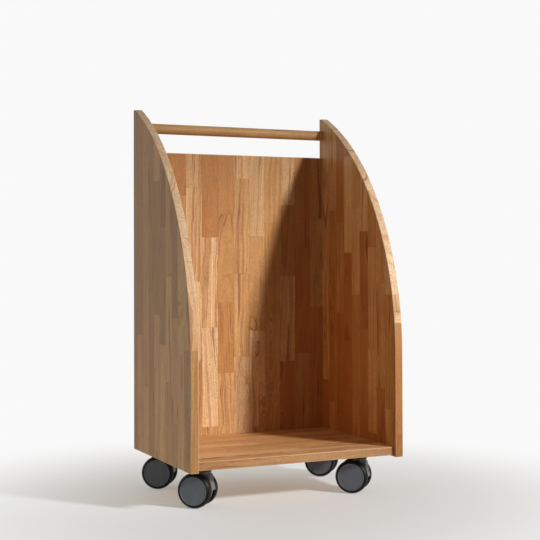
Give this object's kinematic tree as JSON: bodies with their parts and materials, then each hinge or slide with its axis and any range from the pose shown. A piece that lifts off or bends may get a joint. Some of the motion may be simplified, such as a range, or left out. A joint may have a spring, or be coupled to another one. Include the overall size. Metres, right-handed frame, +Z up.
{
  "type": "firewood rack",
  "caption": "Firewood rack in solid beech: curved side panels, back panel, base shelf and round handle bar, on twin-wheel swivel castors.",
  "frame": {"origin": "on the floor, under the middle of the rack's box", "axes": "+X to the rack's right side seen from the front, +Y to its back, +Z up"},
  "size_m": [0.51, 0.37, 0.8815],
  "materials": {
    "beech_board": "oiled edge-glued beech staves",
    "beech_bar": "oiled beech",
    "dowel": "raw beech",
    "castor_grey": "satin moulded",
    "cap_grey": "satin moulded",
    "wheel_core": "moulded",
    "tread": "soft tread",
    "nylon": "moulded",
    "zinc_steel": "bright zinc"
  },
  "bodies": {
    "rack": {"left_side": "beech_board", "right_side": "beech_board", "back_panel": "beech_board", "base_shelf": "beech_board", "handle_bar": "beech_bar", "shelf_dowels": "dowel", "back_dowels": "dowel", "foot_dowels": "dowel", "castor_screws": "zinc_steel", "kingpins": "zinc_steel", "kingpin_rings": "zinc_steel", "front_left_castor_plate": "zinc_steel", "front_right_castor_plate": "zinc_steel", "rear_left_castor_plate": "zinc_steel", "rear_right_castor_plate": "zinc_steel"},
    "front_left_castor": {"front_left_swivel_bush": "nylon", "front_left_swivel_collar": "castor_grey", "front_left_castor_body": "castor_grey", "front_left_axle": "zinc_steel", "front_left_axle_rings": "zinc_steel"},
    "front_left_left_wheel": {"front_left_wheel_left": "wheel_core", "front_left_tyre_left": "tread", "front_left_cap_left": "cap_grey"},
    "front_left_right_wheel": {"front_left_wheel_right": "wheel_core", "front_left_tyre_right": "tread", "front_left_cap_right": "cap_grey"},
    "front_right_castor": {"front_right_swivel_bush": "nylon", "front_right_swivel_collar": "castor_grey", "front_right_castor_body": "castor_grey", "front_right_axle": "zinc_steel", "front_right_axle_rings": "zinc_steel"},
    "front_right_left_wheel": {"front_right_wheel_left": "wheel_core", "front_right_tyre_left": "tread", "front_right_cap_left": "cap_grey"},
    "front_right_right_wheel": {"front_right_wheel_right": "wheel_core", "front_right_tyre_right": "tread", "front_right_cap_right": "cap_grey"},
    "rear_left_castor": {"rear_left_swivel_bush": "nylon", "rear_left_swivel_collar": "castor_grey", "rear_left_castor_body": "castor_grey", "rear_left_axle": "zinc_steel", "rear_left_axle_rings": "zinc_steel"},
    "rear_left_left_wheel": {"rear_left_wheel_left": "wheel_core", "rear_left_tyre_left": "tread", "rear_left_cap_left": "cap_grey"},
    "rear_left_right_wheel": {"rear_left_wheel_right": "wheel_core", "rear_left_tyre_right": "tread", "rear_left_cap_right": "cap_grey"},
    "rear_right_castor": {"rear_right_swivel_bush": "nylon", "rear_right_swivel_collar": "castor_grey", "rear_right_castor_body": "castor_grey", "rear_right_axle": "zinc_steel", "rear_right_axle_rings": "zinc_steel"},
    "rear_right_left_wheel": {"rear_right_wheel_left": "wheel_core", "rear_right_tyre_left": "tread", "rear_right_cap_left": "cap_grey"},
    "rear_right_right_wheel": {"rear_right_wheel_right": "wheel_core", "rear_right_tyre_right": "tread", "rear_right_cap_right": "cap_grey"}
  },
  "joints": [
    {"name": "front_left_swivel", "type": "hinge", "parent": "rack", "child": "front_left_castor", "pos_m": [-0.1905, -0.11, 0.09], "axis": [0, 0, 1], "continuous": true},
    {"name": "front_left_left_spin", "type": "hinge", "parent": "front_left_castor", "child": "front_left_left_wheel", "pos_m": [-0.20462, -0.09729, 0.0375], "axis": [0.6691, 0.7431, 0], "continuous": true},
    {"name": "front_left_right_spin", "type": "hinge", "parent": "front_left_castor", "child": "front_left_right_wheel", "pos_m": [-0.20462, -0.09729, 0.0375], "axis": [0.6691, 0.7431, 0], "continuous": true},
    {"name": "front_right_swivel", "type": "hinge", "parent": "rack", "child": "front_right_castor", "pos_m": [0.1905, -0.11, 0.09], "axis": [0, 0, 1], "continuous": true},
    {"name": "front_right_left_spin", "type": "hinge", "parent": "front_right_castor", "child": "front_right_left_wheel", "pos_m": [0.17616, -0.09753, 0.0375], "axis": [0.6561, 0.7547, 0], "continuous": true},
    {"name": "front_right_right_spin", "type": "hinge", "parent": "front_right_castor", "child": "front_right_right_wheel", "pos_m": [0.17616, -0.09753, 0.0375], "axis": [0.6561, 0.7547, 0], "continuous": true},
    {"name": "rear_left_swivel", "type": "hinge", "parent": "rack", "child": "rear_left_castor", "pos_m": [-0.1905, 0.131, 0.09], "axis": [0, 0, 1], "continuous": true},
    {"name": "rear_left_left_spin", "type": "hinge", "parent": "rear_left_castor", "child": "rear_left_left_wheel", "pos_m": [-0.20643, 0.14135, 0.0375], "axis": [0.5446, 0.8387, 0], "continuous": true},
    {"name": "rear_left_right_spin", "type": "hinge", "parent": "rear_left_castor", "child": "rear_left_right_wheel", "pos_m": [-0.20643, 0.14135, 0.0375], "axis": [0.5446, 0.8387, 0], "continuous": true},
    {"name": "rear_right_swivel", "type": "hinge", "parent": "rack", "child": "rear_right_castor", "pos_m": [0.1905, 0.131, 0.09], "axis": [0, 0, 1], "continuous": true},
    {"name": "rear_right_left_spin", "type": "hinge", "parent": "rear_right_castor", "child": "rear_right_left_wheel", "pos_m": [0.20527, 0.11904, 0.0375], "axis": [-0.6293, -0.7771, 0], "continuous": true},
    {"name": "rear_right_right_spin", "type": "hinge", "parent": "rear_right_castor", "child": "rear_right_right_wheel", "pos_m": [0.20527, 0.11904, 0.0375], "axis": [-0.6293, -0.7771, 0], "continuous": true}
  ]
}
